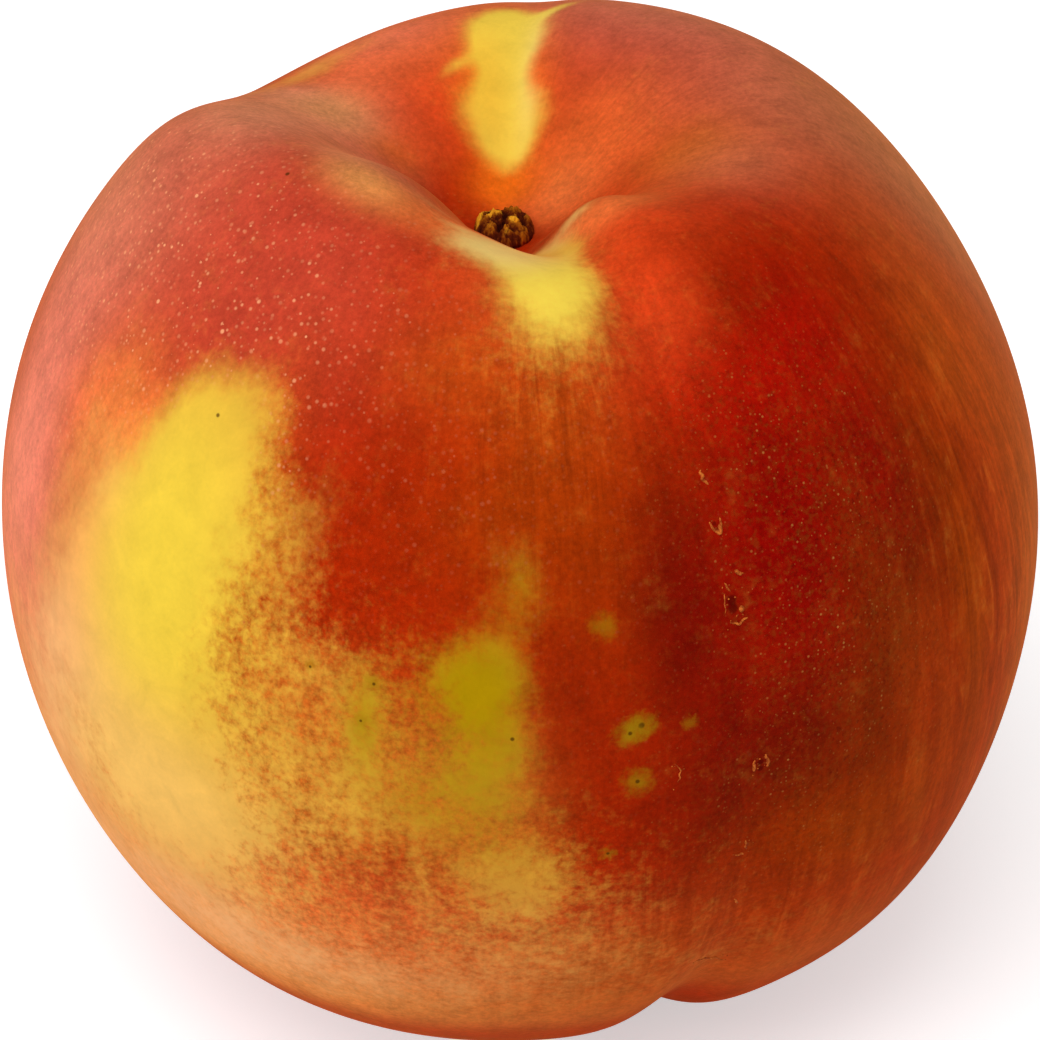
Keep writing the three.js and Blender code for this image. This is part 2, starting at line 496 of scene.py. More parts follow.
@dataclass
class FormGraph:
    """Builds the fruit's rule as nodes: the skin's distance from the middle of the fruit."""

    graph: Graph
    form: FruitForm
    longitude: Socket
    polar: Socket
    side_starts: float = -0.2
    side_is_full: float = 0.35

    def __post_init__(self) -> None:
        """Work out the direction that the rule is read in."""
        g = self.graph
        around = g.math("RADIANS", self.longitude)
        down = g.math("RADIANS", self.polar)
        self.across = g.math("SINE", down)
        self.along = g.math("COSINE", down)
        self.out = g.xyz(g.times(self.across, g.math("COSINE", around)),
                         g.times(self.across, g.math("SINE", around)), self.along)

    def body(self, half_width: Socket, half_height: Socket, fullness: Socket,
             fuller_side: Socket) -> Socket:
        """Distance to the rounded body, before any swell or groove.

        Args:
            half_width: from the axis to the waist.
            half_height: from the middle to either end.
            fullness: 2 is an ellipsoid, more has fuller shoulders.
            fuller_side: how much further +X stands.

        Returns:
            The distance's socket.
        """
        g = self.graph
        wide = g.math("POWER", g.math("DIVIDE", self.across, half_width), fullness)
        tall = g.math("POWER", g.math("DIVIDE", g.math("ABSOLUTE", self.along), half_height),
                      fullness)
        root = g.math("DIVIDE", -1.0, fullness)
        side = g.vector("DOT_PRODUCT", self.out, (1, 0, 0), output="Value")
        return g.total(g.math("POWER", g.total(wide, tall), root), g.times(side, fuller_side))

    def swelling(self) -> Socket:
        """Add up the heights of the swells.

        Returns:
            The sum's socket.
        """
        g = self.graph
        answer: object = 0.0
        for swell in self.form.swells:
            towards = tuple(self.form.out(swell.longitude, swell.polar))
            near = g.vector("DOT_PRODUCT", self.out, towards, output="Value")
            away = g.times(g.math("DEGREES", g.arccos(near)), 1 / swell.spread)
            answer = g.total(answer, g.times(g.bell(away), swell.height))
        return answer

    def gap(self, other: object) -> Socket:
        """Socket of the degrees from another longitude, the short way round."""
        turn = self.graph.math("SUBTRACT", self.longitude, other)
        return self.graph.math("WRAP", turn, 180.0, -180.0)

    def cavity(self, depth: Socket, steepness: Socket, half_width: Socket) -> Socket:
        """Depth of the stem cavity.

        Args:
            depth: at the stem axis.
            steepness: of its wall.
            half_width: in degrees, before the rim's changes.

        Returns:
            The depth's socket.
        """
        g = self.graph
        width = half_width
        for stretch in self.form.rim:
            near = g.bell(g.times(self.gap(stretch.longitude), 1 / stretch.spread))
            width = g.total(width, g.times(near, stretch.wider))
        fall = g.math("POWER", g.math("DIVIDE", self.polar, width), steepness)
        return g.times(depth, g.math("EXPONENT", g.times(fall, -1.0)))

    def groove(self, groove: Groove) -> Socket:
        """Depth of one groove.

        Args:
            groove: its sizes.

        Returns:
            The depth's socket.
        """
        g = self.graph
        turn = g.math("RADIANS", self.gap(g.along(self.polar, groove.course)))
        away = g.math("DEGREES", g.math("ARCSINE", g.times(self.across, g.math("SINE", turn))))
        this_side = g.ease(g.math("COSINE", turn), self.side_starts, self.side_is_full)
        return g.times(g.along(self.polar, groove.depths),
                       g.bell(g.times(away, 1 / groove.half_width)), this_side)


# ---- colour of the skin


class Shade(Enum):
    """Colours of the skin: ground colours first, then the over-colours that the sun gives."""

    LEMON = "f2ce40"
    GOLD = "e6aa3c"
    HONEY = "ffdc50"
    YOLK = "fabc34"
    CREAM_AND_HIGHLIGHT = "ffd880"
    AMBER = "f8a450"
    MOSS = "b48e04"
    OLIVE = "a47e0c"
    TAN = "dc9a2c"
    WHEAT = "fcc868"
    PEARL = "f4a85a"
    SHELL = "ffbc80"
    GREEN = "c8b440"
    RED = "b42602"
    SCARLET = "e04418"
    EMBER = "ea6428"
    LENTICEL = "f8a272"
    FLAME = "fa7414"
    TANGERINE = "f87c3c"
    CORAL = "e86e30"
    ROSE = "ca4630"
    BLOOM_AND_SHEEN = "cc624a"
    SALMON = "f88c72"
    DUSK = "de8a64"
    SEPIA = "c87448"
    CLAY = "ca5410"
    RUST = "cc6a20"
    RUSSET = "b04602"
    GARNET = "942002"
    BARK = "882802"
    RUBY = "c60c02"
    CRIMSON = "960402"
    MAROON = "740c02"
    BRONZE = "8a4210"
    PEAT = "4c2a06"
    WINE = "580602"
    STRAW = "c88a44"
    DOWN = "ff9a4a"

    @property
    def linear(self) -> Rgba:
        """The colour as a shader takes it."""
        return linear(self.value)

    def on(self, *sizes: float, **more: float) -> "Patch":
        """Lay the colour on a patch of skin, with the patch's sizes."""
        return Patch(*sizes, shade=self, **more)


@dataclass(frozen=True)
class Patch:
    """A soft-edged area of skin. Its half sizes are degrees of arc across and down the fruit."""

    longitude: float
    polar: float
    wide: float
    tall: float
    strength: float
    edge: float = 1.0
    turn: float = 0.0
    shade: Shade | None = None

    def cover(self, longitude: np.ndarray, polar: np.ndarray) -> np.ndarray:
        """How strongly the patch covers each point.

        Args:
            longitude: of each point, degrees.
            polar: of each point, degrees.

        Returns:
            The strength at each point.
        """
        gap = (longitude - self.longitude + 180) % 360 - 180
        x = gap * np.sin(np.radians((polar + self.polar) / 2))
        y = polar - self.polar
        lean = math.radians(self.turn)
        across = (x * math.cos(lean) + y * math.sin(lean)) / self.wide
        down = (y * math.cos(lean) - x * math.sin(lean)) / self.tall
        return self.strength * np.exp(-(across ** 2 + down ** 2) ** self.edge)


@dataclass(frozen=True)
class Tint:
    """A number that changes over the skin: its usual level and what each patch adds."""

    name: str
    level: float
    patches: tuple[Patch, ...]

    def lay(self, mesh: bpy.types.Mesh, longitude: np.ndarray, polar: np.ndarray) -> None:
        """Store the level on the skin's points.

        Args:
            mesh: the skin.
            longitude: of each point, degrees.
            polar: of each point, degrees.
        """
        level = np.full(len(longitude), self.level)
        for patch in self.patches:
            level += patch.cover(longitude, polar)
        mesh.attributes.new(self.name, "FLOAT", "POINT").data.foreach_set(
            "value", level.astype(np.float32))


@dataclass(frozen=True)
class Wash:
    """A colour that changes over the skin: its usual shade and each patch laid over it."""

    name: str
    shade: Shade
    patches: tuple[Patch, ...]

    def lay(self, mesh: bpy.types.Mesh, longitude: np.ndarray, polar: np.ndarray) -> None:
        """Store the colour on the skin's points.

        Args:
            mesh: the skin.
            longitude: of each point, degrees.
            polar: of each point, degrees.
        """
        colour = np.tile(np.array(self.shade.linear), (len(longitude), 1))
        for patch in self.patches:
            share = np.clip(patch.cover(longitude, polar), 0, 1)[:, None]
            colour += (np.array(patch.shade.linear) - colour) * share
        mesh.attributes.new(self.name, "FLOAT_COLOR", "POINT").data.foreach_set(
            "color", colour.astype(np.float32).ravel())


GROUND = Wash("ground", Shade.GOLD, (
    Shade.LEMON.on(-134, 70, 16, 22, 1.0, 1.5),
    Shade.AMBER.on(-149, 70, 6, 24, 0.9),
    # paler peach and wheat toward the lower left rim: partly painted light from below
    Shade.SHELL.on(-153, 96, 15, 20, 0.95, 1.3),
    Shade.WHEAT.on(-133, 99, 17, 12, 0.9, 1.3),
    Shade.WHEAT.on(-150, 63, 7, 9, 0.5),
    Shade.MOSS.on(-93, 75, 10, 12, 1.0, 1.5),
    Shade.MOSS.on(-91, 86, 7, 7, 0.6, 1.5),
    Shade.MOSS.on(-105, 79.5, 3, 7, 0.8),
    Shade.MOSS.on(-99, 88, 5, 5, 0.6),
    Shade.TAN.on(-88, 98, 12, 8, 0.8, 1.2),
    Shade.MOSS.on(-93, 91, 6, 5, 0.6),
    # paler pearl and shell round the underside: partly painted light from below
    Shade.PEARL.on(-104, 116, 40, 13, 0.8),
    Shade.SHELL.on(-130, 118, 30, 9, 0.9, 1.3),
    Shade.MOSS.on(-88, 63, 4, 6, 0.8),
    Shade.HONEY.on(90, 24, 12, 20, 1.0, 1.5),
    Shade.YOLK.on(97, 24, 4.5, 9, 0.7),
    # pale cream at the streak's right edge: partly painted highlight
    Shade.CREAM_AND_HIGHLIGHT.on(80, 27, 2, 8, 0.6),
    Shade.AMBER.on(128, 40, 10, 8, 0.8),
    Shade.HONEY.on(-80, 32, 14, 12, 1.0, 1.5),
    # cream along the lips of the notch: partly painted highlight
    Shade.CREAM_AND_HIGHLIGHT.on(-94, 24, 8, 5, 0.9, 1.5),
    Shade.CREAM_AND_HIGHLIGHT.on(-114, 19, 10, 3, 1.0, 1.3),
    Shade.CREAM_AND_HIGHLIGHT.on(-56, 16, 4, 3, 0.8),
    Shade.GREEN.on(60, 85, 30, 34, 0.9),
))

OVER = Wash("over", Shade.RED, (
    # side that faces away
    Shade.CLAY.on(100, 80, 60, 40, 0.6),
    # near left shoulder and cheek; the salmon and dusky rose toward the left rim are partly painted
    # sheen
    Shade.ROSE.on(-150, 38, 24, 18, 0.9, 1.4),
    Shade.ROSE.on(-128, 33, 12, 10, 0.5),
    Shade.BLOOM_AND_SHEEN.on(178, 42, 16, 20, 0.85, 1.3),
    Shade.DUSK.on(178, 47, 15, 11, 0.5),
    Shade.SALMON.on(-165, 79, 13, 27, 0.95, 1.4),
    Shade.SALMON.on(-176, 58, 8, 11, 0.4),
    Shade.TANGERINE.on(-146, 58, 6, 8, 0.8, 1.3),
    Shade.TANGERINE.on(-154, 60, 6, 9, 0.5),
    Shade.CORAL.on(-152, 104, 16, 16, 0.8),
    # cavity
    Shade.SCARLET.on(110, 26, 22, 16, 0.9, 1.4),
    Shade.EMBER.on(114, 34, 14, 8, 0.9, 1.3),
    Shade.FLAME.on(90, 26, 6.5, 18, 0.9, 1.4),
    Shade.EMBER.on(40, 17, 12, 10, 0.9, 1.3),
    Shade.EMBER.on(125, 19, 5, 4, 0.2),
    Shade.SALMON.on(114, 36, 10, 6, 0.4),
    # painted shade: deeper red low in the cavity under the near ridge
    Shade.RED.on(125, 13, 6, 4, 0.6),
    # painted light: the cavity floor beside the scar laid brighter orange
    Shade.TANGERINE.on(36, 11, 7, 5, 0.9),
    Shade.FLAME.on(89, 12, 6, 4, 0.9),
    # painted shade: deeper garnet in the cavity under the near ridge
    Shade.GARNET.on(160, 14, 5, 4, 0.7),
    # crest of the near shoulder, and the notch; the dusky band along the crest is partly painted
    # sheen
    Shade.DUSK.on(162, 28, 14, 8, 0.9, 1.5),
    Shade.DUSK.on(146, 30, 4, 10, 0.8, 1.3),
    Shade.DUSK.on(-165, 19, 12, 3.5, 0.8),
    Shade.CLAY.on(144, 20, 4, 4, 0.7),
    Shade.PEARL.on(145, 28, 5, 4, 0.4),
    Shade.PEARL.on(-130, 22, 7, 3, 0.8),
    Shade.TANGERINE.on(-48, 20, 7, 4, 0.8),
    Shade.TANGERINE.on(-62, 19, 5, 4, 0.8),
    Shade.TANGERINE.on(-106, 22, 4, 3, 0.6),
    Shade.SCARLET.on(-11, 19, 8, 5, 0.7),
    Shade.SCARLET.on(-52, 26, 6, 4, 0.8),
    Shade.SCARLET.on(-101, 31, 7, 5, 0.5),
    Shade.CLAY.on(-97, 41, 8, 6, 0.5),
    Shade.GARNET.on(-83, 53, 5, 5, 0.35),
    Shade.CLAY.on(-85, 46, 8, 8, 0.25),
    Shade.EMBER.on(-79, 40, 5, 5, 0.4),
    Shade.CLAY.on(-81, 46, 5, 4, 0.35),
    Shade.RUSSET.on(-91, 57, 8, 6, 0.4),
    Shade.EMBER.on(-79, 30, 9, 9, 0.8, 1.4),
    Shade.EMBER.on(-100, 22, 10, 4, 0.8, 1.3),
    Shade.SCARLET.on(-77, 42, 7, 8, 0.8),
    # right shoulder; the pale dusky rose along its far rim is partly painted sheen
    Shade.BLOOM_AND_SHEEN.on(58, 36, 20, 10, 0.95, 1.2),
    Shade.BLOOM_AND_SHEEN.on(20, 34, 14, 10, 0.7),
    Shade.SEPIA.on(14, 50, 18, 20, 0.9, 1.3),
    Shade.CLAY.on(-10, 24, 8, 6, 0.5),
    # centre
    Shade.GARNET.on(-101, 60, 12, 12, 0.45, 1.3),
    Shade.RUSSET.on(-82, 44, 6, 10, 0.6),
    Shade.RUSSET.on(-80, 60, 10, 12, 0.5),
    Shade.GARNET.on(-78, 58, 9, 12, 0.3, 1.3),
    Shade.MAROON.on(-70, 68, 6, 14, 0.9, 1.3),
    # mottled stretch round the windows
    Shade.RUST.on(-112, 86, 18, 12, 0.9, 1.5),
    Shade.RUST.on(-128, 94, 14, 10, 0.8, 1.3),
    Shade.RUST.on(-92, 88, 8, 14, 0.8, 1.5),
    Shade.CLAY.on(-122, 60, 4, 14, 0.6),
    # suture and the blush beside it
    Shade.RUBY.on(-50, 44, 12, 10, 0.9, 1.3),
    Shade.CRIMSON.on(-56, 64, 11, 17, 0.95, 1.4),
    Shade.CRIMSON.on(-64, 84, 6, 12, 0.6),
    Shade.GARNET.on(-54, 36, 10, 8, 0.7, 1.3),
    Shade.MAROON.on(-58, 88, 8, 11, 0.85, 1.3),
    Shade.MAROON.on(-69, 93, 7, 13, 0.6),
    Shade.GARNET.on(-83, 78, 5, 13, 0.7),
    Shade.GARNET.on(-56, 105, 10, 7, 0.6),
    # right cheek
    Shade.BARK.on(-43, 78, 7, 20, 0.95, 1.5),
    Shade.RUSSET.on(-31, 80, 5, 26, 0.8),
    Shade.GARNET.on(-28, 52, 8, 14, 0.6),
    Shade.BARK.on(-35, 67, 5, 10, 0.7, 1.3),
    Shade.CLAY.on(-21, 58, 5, 8, 0.7),
    Shade.CLAY.on(-41, 87, 3, 12, 0.4, turn=-8),
    Shade.CLAY.on(-37, 90, 1.6, 12, 0.5, turn=-6),
    Shade.CLAY.on(-40, 100, 1.8, 10, 0.6, turn=-10),
    Shade.CLAY.on(-12, 80, 12, 40, 0.85, 1.3),
    Shade.RUSSET.on(-50, 102, 14, 10, 0.7),
    Shade.RED.on(-61, 112, 11, 9, 0.75, 1.3),
    Shade.GARNET.on(-61, 106, 8, 6, 0.5),
    Shade.CRIMSON.on(-41, 60, 5, 12, 0.75),
    Shade.RED.on(-40, 89, 5, 9, 0.4),
    Shade.SCARLET.on(-47, 30, 6, 4, 0.4),
    Shade.RUST.on(1, 23, 6, 5, 0.5),
    Shade.DUSK.on(58, 38, 14, 6, 0.3),
    Shade.BARK.on(-49, 88, 5, 8, 0.7),
    Shade.CRIMSON.on(-40, 44, 6, 7, 0.3),
    Shade.DUSK.on(-12, 28, 7, 6, 0.3),
    Shade.SCARLET.on(-64, 35, 6, 9, 0.85, 1.3),
    # underside, laid paler in coral and amber: partly painted light from below
    Shade.CORAL.on(-114, 112, 36, 13, 0.9, 1.5),
    Shade.AMBER.on(-142, 116, 24, 9, 0.8, 1.3),
    Shade.AMBER.on(-100, 122, 40, 7, 0.6, 1.3),
    Shade.CLAY.on(-72, 118, 26, 11, 0.8, 1.4),
    Shade.RED.on(-62, 116, 12, 8, 0.6),
))

BLUSH = Tint("blush", 1.0, (
    # large yellow window on the near left cheek
    Patch(-131.5, 54.5, 7.0, 8, -0.9, 1.6),
    Patch(-132.5, 65, 11, 12, -1.0, 1.8),
    Patch(-117, 62, 5, 9, -0.45, 1.5),
    Patch(-125, 48, 4, 5, -0.15),
    Patch(-119, 47, 3.2, 6, 0.2),
    Patch(-117, 53, 3, 5, 0.15),
    Patch(-122, 50, 3.4, 4.6, -0.35),
    Patch(-138, 99, 9, 10, -0.15),
    Patch(-79, 39, 5, 4, -0.12),
    Patch(-103, 70, 6, 3, -0.1),
    Patch(-141, 56, 4, 8, 0.25),
    Patch(-157, 84, 9, 16, 0.4),
    Patch(-136, 78, 11, 12, -0.8, 1.8),
    Patch(-132, 88, 12, 11, -0.6, 1.5),
    Patch(-148, 74, 8, 22, -0.45),
    # smaller greenish window in the middle
    Patch(-93, 72.5, 5.2, 4.2, -0.8, 1.6),
    Patch(-88, 63, 2.4, 4, -0.45),
    Patch(-91.5, 80, 5, 8, -0.75, 1.6),
    Patch(-98, 76, 4, 5, -0.3),
    Patch(-105, 80, 1.8, 6, -0.4),
    Patch(-110, 81, 5, 7, 0.25),
    Patch(-107, 101, 9, 5, 0.35),
    Patch(-86, 99, 8, 7, -0.35),
    Patch(-88, 97, 5, 5, -0.5, 1.2),
    # mottled stretch below and between them
    Patch(-113, 79, 12, 9, -0.6, 2.0),
    Patch(-100, 89, 12, 6, -0.6, 1.4),
    Patch(-122, 93, 14, 8, -0.5, 1.4),
    Patch(-115, 104, 30, 10, -0.6, 1.4),
    Patch(-104, 116, 44, 8, -0.3),
    # less blush low on the left side and underside, so the paler ground shows: partly painted light
    # from below
    Patch(-155, 95, 13, 22, -0.8, 1.2),
    Patch(-135, 118, 30, 9, -0.4),
    Patch(-130, 100, 9, 10, -0.4),
    Patch(-108, 109, 13, 6, 0.4),
    Patch(-89, 68, 3, 3, -0.2),
    Patch(-95, 73, 5, 4, 0.25),
    Patch(-83, 98, 5, 7, 0.15),
    Patch(-83, 109, 6, 4, -0.15),
    Patch(-94, 91, 6, 4, 0.1),
    # yellow streak down the far wall of the cavity
    Patch(89.5, 31, 4.6, 5, -1.1, 1.6),
    Patch(90.5, 27, 3.4, 6, -1.1, 1.5),
    Patch(90.5, 20.5, 5.8, 4.2, -1.1, 1.5),
    Patch(88.5, 16.5, 4.0, 3.0, -0.8, 1.3),
    Patch(80.5, 34.8, 0.8, 3.8, -0.9, turn=40),
    Patch(104, 26.5, 3.0, 0.9, -0.6, turn=-20),
    Patch(132, 37, 9, 3, -0.6),
    # yellow below the notch
    Patch(-80, 29.5, 5.4, 8.5, -1.1, 1.5),
    Patch(-71, 19.5, 3.4, 5, -1.1, 1.5),
    Patch(-92, 24.5, 6, 3.6, -0.9, 1.4),
    Patch(-103, 21, 4.0, 1.5, -0.4, 1.2),
    Patch(-116, 17.8, 4, 0.8, -0.2),
    Patch(-54, 15.8, 2.0, 1.6, -0.6),
    Patch(-84, 42, 7, 7, -0.15),
    # windows on the side that faces away
    Patch(62, 88, 20, 24, -0.9, 1.4),
    Patch(100, 70, 12, 16, -0.5),
    Patch(20, 112, 16, 14, -0.5),
    Patch(150, 104, 20, 16, -0.5),
))

MOTTLE = Tint("mottle", 0.3, (
    Patch(-112, 80, 16, 16, 0.7, 1.4),
    Patch(-121, 58, 4, 14, 0.4),
    Patch(-128, 95, 16, 12, 0.5),
    Patch(-94, 80, 8, 10, 0.3),
    Patch(-88, 97, 8, 8, 0.4),
    Patch(-104, 104, 40, 14, 0.55),
    Patch(-84, 44, 8, 10, 0.2),
    Patch(90, 26, 20, 20, -0.15, 1.5),
    Patch(-160, 76, 12, 24, -0.2),
))

STREAK = Tint("streak", 0.2, (
    Patch(-82, 50, 9, 14, 0.5),
    Patch(-24, 84, 14, 34, 1.1),
    Patch(-60, 106, 24, 12, 0.4),
    Patch(36, 20, 14, 12, 0.15),
    Patch(90, 0, 400, 30, -0.16, 1.5),
))

STIPPLE = Tint("stipple", 0.15, (
    Patch(-50, 68, 14, 20, 0.85, 1.4),
    Patch(-56, 92, 14, 12, 0.5),
    Patch(-60, 48, 12, 10, 0.3),
))

DOTS = Tint("dots", 0.03, (
    Patch(-162, 42, 32, 18, 1.25, 1.4),
    Patch(-121, 54, 4, 14, 0.6),
    Patch(-158, 68, 12, 18, 0.4),
    Patch(-98, 52, 18, 16, 0.1),
))

LAYERS = (GROUND, OVER, BLUSH, MOTTLE, STREAK, STIPPLE, DOTS)


@dataclass(frozen=True)
class PinDot:
    """A dark pin-prick of a mark, with a paler halo, in degrees and millimetres."""

    longitude: float
    polar: float
    dot: float = 0.16
    halo: float = 0.6
    halo_strength: float = 0.6
    dark: float = 0.8
    stain: Shade = Shade.PEAT


PIN_DOTS = (
    PinDot(-131, 52, 0.2, 0.3, 0.0),
    PinDot(-89, 80, 0.2, 0.4, 0.0),
    PinDot(-104, 75, 0.16, 0.7, 0.6),
    PinDot(-150, 27, 0.22, 0.4, 0.0),
    PinDot(-111.6, 74.4, 0.14, 0.5, 0.5),
    PinDot(-105.2, 79.3, 0.14, 0.5, 0.5),
    PinDot(-75.4, 79.2, 0.3, 1.0, 0.8),
    PinDot(-76.6, 80.2, 0.2, 1.0, 0.8),
    PinDot(-76, 86, 0.22, 1.0, 0.7),
    PinDot(-79, 68, 0.1, 0.9, 0.5, 0.0),
    PinDot(-70, 80, 0.1, 0.5, 0.4, 0.0),
    PinDot(-79, 95, 0.16, 0.5, 0.5),
    # hollows of the healed splits
    PinDot(-64.1, 59.7, 0.2, 0.4, 0.0, 0.6, Shade.WINE),
    PinDot(-63.9, 68.0, 0.5, 0.4, 0.0, 0.8, Shade.WINE),
    PinDot(-63.8, 69.0, 0.5, 0.4, 0.0, 0.8, Shade.WINE),
    PinDot(-61.9, 87.4, 0.3, 0.4, 0.0, 0.8, Shade.WINE),
    PinDot(-61.9, 88.2, 0.3, 0.4, 0.0, 0.8, Shade.WINE),
)


@dataclass(frozen=True)
class DotSize:
    """Scattered round dots: cells to a millimetre, and their radii in cells."""

    cells: float
    smallest: float
    largest: float


@dataclass(frozen=True)
class SkinFinish(Finish):
    """Downy skin: an over-colour on a ground colour, mottled, stippled and dotted."""

    roughness: float = 0.62
    gloss: float = 0.01
    relief: float = 0.04
    relief_strength: float = 0.6
    sheen: float = 0.45
    sheen_roughness: float = 0.3
    sheen_tint: Shade = Shade.DOWN
    fine: Grain = Grain(1.0, 3.4)
    # ground colour
    uneven: Grain = Grain(0.35, 0.35, distortion=0.5)
    uneven_fine: float = 0.12
    # how far the over-colour hides it
    cover_span: Span = (-0.05, 1.0)
    broad: Grain = Grain(0.4, 0.3)
    clouds: Grain = Grain(0.5, 0.6, 2.0, 0.5)
    flecks: Grain = Grain(1.3, 1.4, 4.0, 0.65, 0.2)
    flecks_fine: float = 0.5
    streak_cover: float = 0.9
    streak_draw: tuple[float, float, float] = (24.0, 24.0, 5.0)
    streaks: Grain = Grain(1.0, 0.9, 5.0, 0.65, 1.2)
    # depth of the over-colour
    depth_span: Span = (-0.5, 0.5)
    pale: float = 1.4
    deep: float = 0.6
    depth: Grain = Grain(0.6, 0.4, 4.0)
    depth_fine: Grain = Grain(1.0, 2.4, share=0.7)
    depth_mottled: float = 1.1
    depth_plain: float = 0.3
    streak_depth: float = 1.6
    # stippling
    apart: tuple[float, float, float] = (31.0, 17.0, 5.0)
    stipple: Grain = Grain(1.0, 2.2, share=0.7)
    stipple_span: Span = (-0.04, 0.2)
    dark_stipple: Grain = Grain(1.0, 2.6, share=0.7)
    dark_stipple_span: Span = (0.0, 0.24)
    stipple_share: float = 0.45
    dark_stipple_share: float = 0.6
    specks: DotSize = DotSize(2.5, 0.1, 0.34)
    speck_share: float = 0.8
    # lenticels
    lenticels: DotSize = DotSize(2.0, 0.14, 0.46)
    lenticel_relief: float = 0.6
    gathering: Grain = Grain(1.0, 0.5, 2.0)
    gathering_span: Span = (-0.12, 0.1)
    loosest: float = 0.5
    dot_core: float = 0.3
    faintest_dot: float = 0.3
    dot_spread: float = 0.7
    # pin-pricks
    ragged_halo: Grain = Grain(1.6, 1.6)
    halo_reach: float = 1.5
    prick_core: float = 0.4

    def dress(self, made: bpy.types.Material, pricks: list[tuple[Vector, PinDot]]) -> None:
        """Build the finish.

        Args:
            made: an empty material.
            pricks: each pin-prick with its place on the skin.
        """
        g, place = self.begin(made)
        fine = g.noise(place, self.fine)
        drawn = g.vector("MULTIPLY", g.attribute("around", "Vector"), self.streak_draw)
        streaks = g.times(g.noise(drawn, self.streaks), g.attribute("streak"))
        cover = self.cover(g, place, fine, streaks)
        uneven = g.total(g.noise(place, self.uneven), g.times(fine, self.uneven_fine), 1.0)
        ground = g.vector("SCALE", g.attribute("ground", "Color"), uneven)
        colour = g.mix(cover, ground, self.over(g, place, streaks))
        dots = g.times(self.dotted(g, place, self.lenticels), g.attribute("dots"))
        colour = g.mix(g.math("MULTIPLY", dots, cover, clamp=True), colour, Shade.LENTICEL.linear)
        colour = self.prick(g, place, colour, pricks)
        blushed = g.ease(g.attribute("blush"), *self.cover_span)
        raised = g.math("MULTIPLY", dots, blushed, clamp=True)
        self.end(g, colour, g.total(fine, g.times(raised, self.lenticel_relief)))
        inputs = made.node_tree.nodes["Principled BSDF"].inputs
        g.plug(inputs["Sheen Weight"], self.sheen)
        g.plug(inputs["Sheen Roughness"], self.sheen_roughness)
        g.plug(inputs["Sheen Tint"], self.sheen_tint.linear)

    def cover(self, g: Graph, place: Socket, fine: Socket, streaks: Socket) -> Socket:
        """How far the over-colour hides the ground colour.

        Args:
            g: the material's graph.
            place: the point in millimetres.
            fine: fine noise.
            streaks: noise drawn out from the stem end to the blossom end.

        Returns:
            The cover's socket, 0 to 1.
        """
        mottling = g.total(g.noise(place, self.clouds), g.noise(place, self.flecks),
                           g.times(fine, self.flecks_fine))
        level = g.total(g.attribute("blush"), g.noise(place, self.broad),
                        g.times(streaks, self.streak_cover),
                        g.times(mottling, g.attribute("mottle")))
        return g.ease(level, *self.cover_span)

    def over(self, g: Graph, place: Socket, streaks: Socket) -> Socket:
        """The over-colour with its depth and stippling.

        Args:
            g: the material's graph.
            place: the point in millimetres.
            streaks: noise drawn out from the stem end to the blossom end.

        Returns:
            The colour's socket.
        """
        uneven = g.total(g.times(g.attribute("mottle"), self.depth_mottled), self.depth_plain)
        depth = g.total(g.noise(place, self.depth),
                        g.times(g.noise(place, self.depth_fine), uneven),
                        g.times(streaks, self.streak_depth))
        shading = g.ease(depth, *self.depth_span, self.pale, self.deep)
        colour = g.vector("SCALE", g.attribute("over", "Color"), shading)
        stipple = g.attribute("stipple")
        moved = g.vector("ADD", place, self.apart)
        dark = g.ease(g.noise(moved, self.dark_stipple), *self.dark_stipple_span)
        light = g.ease(g.noise(place, self.stipple), *self.stipple_span)
        specks = self.dotted(g, moved, self.specks)
        for grain, share, shade in ((dark, self.dark_stipple_share, Shade.WINE),
                                    (light, self.stipple_share, Shade.BRONZE),
                                    (specks, self.speck_share, Shade.STRAW)):
            colour = g.mix(g.times(grain, stipple, share), colour, shade.linear)
        return colour

    def dotted(self, g: Graph, place: Socket, dots: DotSize) -> Socket:
        """Round dots of mixed sizes, scattered evenly and brighter in loose groups.

        Args:
            g: the material's graph.
            place: the point in millimetres.
            dots: their sizes.

        Returns:
            How strongly each point is dotted, 0 to 1.
        """
        cells = g.node("ShaderNodeTexVoronoi", voronoi_dimensions="3D", feature="F1")
        g.plug(cells.inputs["Vector"], place)
        g.plug(cells.inputs["Scale"], dots.cells)
        chance, other_chance, _ = g.split(cells.outputs["Color"])
        size = g.total(g.times(chance, dots.largest - dots.smallest), dots.smallest)
        near = g.ease(g.math("DIVIDE", cells.outputs["Distance"], size), self.dot_core, 1.0, 1.0, 0.0)
        bright = g.times(other_chance, other_chance, self.dot_spread)
        gathered = g.ease(g.noise(place, self.gathering), *self.gathering_span, self.loosest, 1.0)
        return g.times(near, gathered, g.total(bright, self.faintest_dot))

    def prick(self, g: Graph, place: Socket, colour: Socket,
              pricks: list[tuple[Vector, PinDot]]) -> Socket:
        """Lay the pin-pricks over the colour.

        Args:
            g: the material's graph.
            place: the point in millimetres.
            colour: the skin's colour.
            pricks: each pin-prick with its place on the skin.

        Returns:
            The colour with them.
        """
        wobble = g.noise(place, self.ragged_halo)
        for centre, mark in pricks:
            away = g.vector("DISTANCE", place, tuple(centre / MM), output="Value")
            if mark.halo_strength:
                halo = g.ease(g.total(away, wobble), 0.0, mark.halo * self.halo_reach,
                              mark.halo_strength, 0.0)
                colour = g.mix(halo, colour, Shade.OLIVE.linear)
            if mark.dark:
                dot = g.ease(away, mark.dot * self.prick_core, mark.dot, mark.dark, 0.0)
                colour = g.mix(dot, colour, mark.stain.linear)
        return colour


# ---- the fruit's skin


